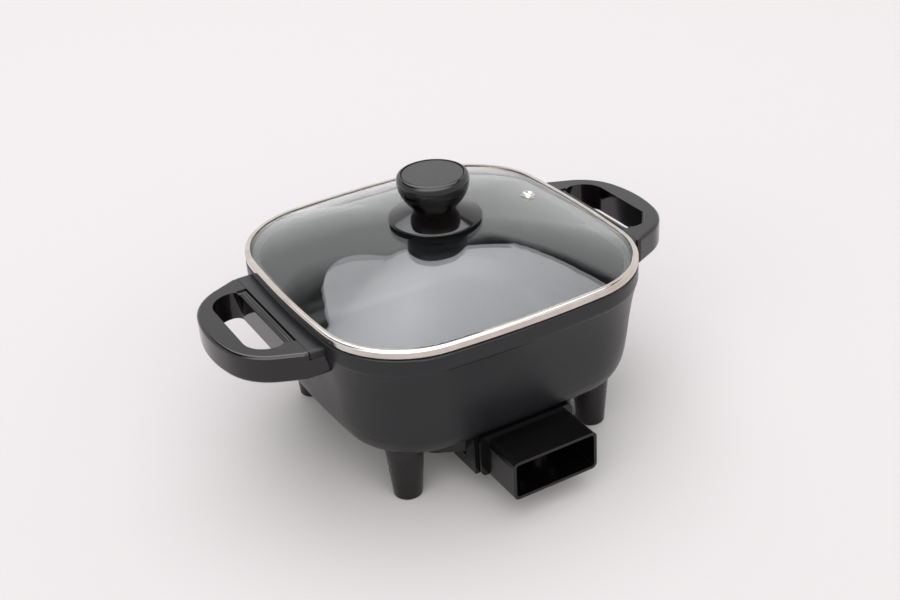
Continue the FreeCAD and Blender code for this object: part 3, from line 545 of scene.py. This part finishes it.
@dataclass
class PanFlare:
    """The pan's wall where it flares out into the rim.

    It is one smooth surface over the casting's step.
    """

    wardrobe: Wardrobe
    outline: BowedSquare = field(default_factory=BowedSquare)
    # Inset from the rim and height of the wall's outer face, from the rim down
    outer: tuple[tuple[float, float], ...] = (
        (0.0, 121.0), (0.25, 118.0), (1.1, 113.5), (2.4, 108.0), (3.9, 100.0), (5.3, 90.0),
        (6.6, 79.0), (7.9, 68.0), (9.3, 59.5), (11.9, 51.5), (14.6, 47.0))
    inner: tuple[tuple[float, float], ...] = ((15.2, 47.6), (10.6, 64.0), (8.6, 112.0), (2.0, 121.0))

    def build(self) -> None:
        """Make the flare and let it ride with the pan."""
        profile = smooth_run(self.outer) + list(self.inner)
        flare = skin_rings("pan_wall_flare",
                           [self.outline.ring(inset, height) for inset, height in profile])
        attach(flare, "pan")
        self.wardrobe.dress(flare, Skin.PAN)


@dataclass
class RolledBand:
    """Steel band rolled round the glass's edge, with its skirt, as one strip with soft crowns."""

    wardrobe: Wardrobe
    outline: BowedSquare = field(default_factory=BowedSquare)
    crown_steps: int = 3
    # Inset and height of the strip's section, from the lip round the outside to the skirt and back
    outside: tuple[tuple[float, float], ...] = (
        (3.8, 133.2), (2.9, 133.3), (1.8, 133.3), (1.05, 133.14), (0.45, 132.7), (0.1, 132.1), (0.0, 131.4),
        (0.0, 128.9), (0.1, 128.2), (0.45, 127.6), (1.05, 127.16), (1.8, 127.0))
    inside: tuple[tuple[float, float], ...] = (
        (3.9, 127.0), (3.9, 124.2), (4.5, 124.2), (4.5, 127.55), (0.65, 127.55), (0.65, 132.75),
        (3.8, 132.75))

    def build(self) -> None:
        """Make the band in place of its solid."""
        profile = smooth_run(self.outside, self.crown_steps) + list(self.inside)
        band = skin_rings("rolled_lid_band",
                          [self.outline.ring(inset, height) for inset, height in profile])
        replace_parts(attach(band, "lid"), "lid_rim_band")
        self.wardrobe.dress(band, Skin.BAND)


def turned(name: str, profile: Iterable[tuple[float, float]], steps: int = 112) -> bpy.types.Object:
    """Turn a closed profile about the height axis.

    Args:
        name: the new object's name.
        profile: radius and height of its points, in millimetres.
        steps: how many flats go round.

    Returns:
        The turned object.
    """
    angles = [2 * math.pi * step / steps for step in range(steps)]
    rings = [[Vector((radius * math.cos(a), radius * math.sin(a), height)) * MM for a in angles]
             for radius, height in profile]
    return skin_rings(name, rings)


@dataclass
class HandleBeads:
    """The round bead that each handle has along the lug's side of its finger opening."""

    wardrobe: Wardrobe
    out: float = 132.3
    height: float = 121.55
    radius: float = 1.4
    half_length: float = 38.6
    end_angles: tuple[float, ...] = (0.0, 0.4, 0.8, 1.2, math.pi / 2)
    flats: int = 24

    def build(self) -> None:
        """Make one bead for each handle."""
        end = [(self.radius * math.sin(a), self.radius * (1 - math.cos(a)) - self.half_length)
               for a in self.end_angles]
        profile = end + [(radius, -along) for radius, along in reversed(end)]
        for side, word in ((1, "right"), (-1, "left")):
            bead = turned(f"handle_bead_{word}", profile, self.flats)
            bead.data.transform(Matrix.Rotation(math.pi / 2, 4, "X"))
            bead.location = Vector((self.out * side, 0, self.height)) * MM
            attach(bead, "pan")
            self.wardrobe.dress(bead, Skin.HANDLE)


@dataclass
class KnobParts:
    """Knob and finger guard, turned to the photographed profiles."""

    wardrobe: Wardrobe
    # Radius and height of the profiles that show, and of the hidden ones that close them
    knob_side: tuple[tuple[float, float], ...] = (
        (14.9, 164.4), (15.5, 165.3), (17.3, 167.3), (19.6, 170.0), (21.7, 173.0), (23.4, 176.4),
        (24.6, 180.0), (25.15, 183.4), (25.0, 186.2), (24.2, 188.2), (23.0, 189.15), (22.1, 189.35))
    knob_inside: tuple[tuple[float, float], ...] = (
        (21.9, 189.2), (21.9, 187.2), (0.0, 187.2), (0.0, 182.6), (4.1, 182.6), (4.1, 164.4))
    guard_side: tuple[tuple[float, float], ...] = (
        (31.7, 156.5), (32.5, 156.9), (32.8, 157.5), (32.4, 158.1), (31.2, 158.7), (27.0, 160.2),
        (22.0, 161.9), (18.0, 163.2), (16.2, 163.9), (15.3, 164.3))
    guard_inside: tuple[tuple[float, float], ...] = ((2.9, 164.3), (2.9, 158.0), (15.0, 158.0))

    def build(self) -> None:
        """Make both pieces in place of their solids."""
        knob = turned("turned_knob", smooth_run(self.knob_side) + list(self.knob_inside))
        guard = turned("turned_finger_guard",
                       smooth_run(self.guard_side) + list(self.guard_inside))
        for made, stands_for in ((knob, "lid_knob"), (guard, "knob_skirt")):
            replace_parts(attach(made, "lid"), stands_for)
            self.wardrobe.dress(made, Skin.HANDLE)


@dataclass
class Dressing:
    """Which finish each solid wears that no other piece stands for."""

    wardrobe: Wardrobe
    skins: dict[str, Skin] = field(default_factory=lambda: {
        "pan_body": Skin.PAN, "heating_element": Skin.SCREW,
        "terminal_pin_left": Skin.SCREW, "terminal_pin_right": Skin.SCREW,
        "pin_insulator_left": Skin.BEAD, "pin_insulator_right": Skin.BEAD,
        "handle_right": Skin.HANDLE, "handle_left": Skin.HANDLE,
        "leg_front_right": Skin.LEG, "leg_front_left": Skin.LEG,
        "leg_rear_left": Skin.LEG, "leg_rear_right": Skin.LEG,
        "probe_shroud": Skin.SHROUD, "leg_screws": Skin.SCREW, "shroud_screws": Skin.SCREW,
        "handle_screws_right": Skin.SCREW, "handle_screws_left": Skin.SCREW,
        "lid_glass": Skin.GLASS, "vent_grommet": Skin.BAND, "knob_gasket": Skin.SEAL,
        "knob_cap": Skin.CAP, "knob_insert": Skin.BRASS, "knob_seal": Skin.SEAL,
        "knob_washer": Skin.SCREW, "knob_screw": Skin.SCREW,
    })

    def build(self) -> None:
        """Dress each of those solids."""
        for name, skin in self.skins.items():
            self.wardrobe.dress(NODES[name], skin)


@dataclass
class Studio:
    """Floor, backdrop light, softbox and camera."""

    floor_half: float = 6.0
    floor_colour: str = "#aeabaa"
    floor_roughness: float = 0.9
    floor_shine: float = 0.1
    backdrop_colour: str = "#ebe9ea"
    backdrop_level: float = 1.0
    # Height of the backdrop's top edge, how it softens below and above that, and its tilt
    backdrop_top: float = 0.575
    backdrop_soft: tuple[float, float] = (0.02, 0.03)
    backdrop_tilt: float = 0.15
    gap_level: float = 0.05
    # Pale wall and ceiling in front of the table: direction, level, the heights between which
    # it fades in, and how much farther round it begins and is full
    fill_side: tuple[float, float, float] = (-0.39237, -0.73869, 0.35)
    fill_level: float = 3.4
    fill_start: float = 0.12
    fill_full: float = 0.55
    fill_edges: tuple[float, float] = (0.3, 0.6)
    softbox_height: float = 4.0
    softbox_level: float = 5.1
    softbox_edge_level: float = 2.4
    softbox_colour: str = "#fbfaff"
    # Shares of the softbox's height: its outline, its brightest spot and how far that reaches
    softbox_outline: tuple[tuple[float, float], ...] = (
        (-0.16, 1.20), (-0.02, 1.33), (0.16, 1.35), (0.30, 1.24), (0.52, 0.95), (0.66, 0.68),
        (0.74, 0.42), (0.78, 0.10), (0.60, -0.42), (0.10, -0.55), (-0.40, -0.30), (-0.52, 0.30),
        (-0.36, 0.88))
    softbox_hot_spot: tuple[float, float] = (0.15, 0.45)
    softbox_reach: float = 0.75
    # Where the camera stands, and the directions to its right, upward and back
    eye: tuple[float, float, float] = (-0.39237, -0.73869, 0.56991)
    right: tuple[float, float, float] = (0.862035, -0.503623, -0.057094)
    up: tuple[float, float, float] = (0.294529, 0.406064, 0.865081)
    back: tuple[float, float, float] = (-0.41249, -0.762546, 0.498373)
    lens: float = 54.05
    sensor: float = 36.0
    nearest: float = 0.01

    def build(self) -> None:
        """Make the whole studio."""
        self.make_floor()
        self.make_world()
        self.make_softbox()
        self.make_camera()
        bpy.context.scene.view_settings.view_transform = "Standard"

    def make_floor(self) -> None:
        """Lay a pale sweep under the object."""
        mesh = bpy.data.meshes.new("floor")
        h = self.floor_half
        mesh.from_pydata([(-h, -h, 0), (h, -h, 0), (h, h, 0), (-h, h, 0)], [], [(0, 1, 2, 3)])
        floor = bpy.data.objects.new("floor", mesh)
        bpy.context.scene.collection.objects.link(floor)
        material = bpy.data.materials.new("painted_paper_sweep")
        material.use_nodes = True
        tree = material.node_tree
        shader = tree.nodes["Principled BSDF"]
        shader.inputs["Base Color"].default_value = linear(self.floor_colour)
        shader.inputs["Roughness"].default_value = self.floor_roughness
        shader.inputs["Specular IOR Level"].default_value = self.floor_shine
        mesh.materials.append(material)

    def make_world(self) -> None:
        """Pale backdrop all round up to its top edge, and an unlit room above it."""
        world = bpy.data.worlds.new("studio")
        bpy.context.scene.world = world
        world.use_nodes = True
        tree = world.node_tree
        tree.nodes.clear()
        direction = node(tree, "ShaderNodeTexCoord").outputs["Generated"]
        height = node(tree, "ShaderNodeVectorMath",
                      {0: direction, 1: (-self.backdrop_tilt, 0, 1)}, operation="DOT_PRODUCT")
        below, above = self.backdrop_soft
        level = node(tree, "ShaderNodeMapRange",
                     {"Value": height.outputs["Value"], "From Min": self.backdrop_top - below,
                      "From Max": self.backdrop_top + above, "To Min": self.backdrop_level,
                      "To Max": self.gap_level})
        front = node(tree, "ShaderNodeVectorMath", {0: direction, 1: self.fill_side},
                     operation="DOT_PRODUCT")
        begin, full = self.fill_edges
        fill = node(tree, "ShaderNodeMapRange",
                    {"Value": front.outputs["Value"], "From Min": self.fill_start + begin,
                     "From Max": self.fill_start + full, "To Min": 0.0, "To Max": self.fill_level})
        raised = node(tree, "ShaderNodeMapRange",
                      {"Value": height.outputs["Value"], "From Min": self.fill_start,
                       "From Max": self.fill_full})
        added = node(tree, "ShaderNodeMath",
                     {0: fill.outputs["Result"], 1: raised.outputs["Result"],
                      2: level.outputs["Result"]}, operation="MULTIPLY_ADD")
        path = node(tree, "ShaderNodeLightPath")
        room = node(tree, "ShaderNodeBackground",
                    {"Color": (1, 1, 1, 1), "Strength": added.outputs[0]})
        seen = node(tree, "ShaderNodeBackground",
                    {"Color": linear(self.backdrop_colour), "Strength": 1.0})
        mixed = node(tree, "ShaderNodeMixShader",
                     {0: path.outputs["Is Camera Ray"], 1: room.outputs[0], 2: seen.outputs[0]})
        node(tree, "ShaderNodeOutputWorld", {"Surface": mixed.outputs["Shader"]})

    def make_softbox(self) -> None:
        """Hang a large softbox over the back of the table."""
        height = self.softbox_height
        outline = bpy.data.curves.new("softbox", "CURVE")
        outline.dimensions = "2D"
        outline.fill_mode = "BOTH"
        edge = outline.splines.new("BEZIER")
        edge.bezier_points.add(len(self.softbox_outline) - 1)
        edge.use_cyclic_u = True
        for point, (across, along) in zip(edge.bezier_points, self.softbox_outline):
            point.co = (across * height, along * height, 0)
            point.handle_left_type = point.handle_right_type = "AUTO"
        box = bpy.data.objects.new("softbox", outline)
        box.location.z = height
        bpy.context.scene.collection.objects.link(box)
        box.visible_camera = False
        material = bpy.data.materials.new("lit_softbox_cloth")
        material.use_nodes = True
        tree = material.node_tree
        tree.nodes.clear()
        place = node(tree, "ShaderNodeTexCoord").outputs["Object"]
        hot = tuple(share * height for share in self.softbox_hot_spot) + (0.0,)
        away = node(tree, "ShaderNodeVectorMath", {0: place, 1: hot}, operation="DISTANCE")
        level = node(tree, "ShaderNodeMapRange",
                     {"Value": away.outputs["Value"], "From Max": self.softbox_reach * height,
                      "To Min": self.softbox_level, "To Max": self.softbox_edge_level})
        cloth = node(tree, "ShaderNodeEmission",
                     {"Color": linear(self.softbox_colour), "Strength": level.outputs["Result"]})
        node(tree, "ShaderNodeOutputMaterial", {"Surface": cloth.outputs[0]})
        outline.materials.append(material)

    def make_camera(self) -> None:
        """Stand the camera where the photograph was taken from."""
        data = bpy.data.cameras.new("photograph")
        data.sensor_width = self.sensor
        data.lens = self.lens
        data.clip_start = self.nearest
        camera = bpy.data.objects.new("photograph", data)
        columns = Matrix((self.right, self.up, self.back)).transposed()
        camera.matrix_world = Matrix.Translation(self.eye) @ columns.to_4x4()
        bpy.context.scene.collection.objects.link(camera)
        bpy.context.scene.camera = camera


def main() -> None:
    """Build the looks in order and report each piece."""
    logging.basicConfig(level=logging.INFO, format="%(message)s")
    Studio().build()
    wardrobe = Wardrobe()
    Dressing(wardrobe).build()
    PanFlare(wardrobe).build()
    RolledBand(wardrobe).build()
    HandleBeads(wardrobe).build()
    KnobParts(wardrobe).build()


if __name__ == "__main__":
    main()
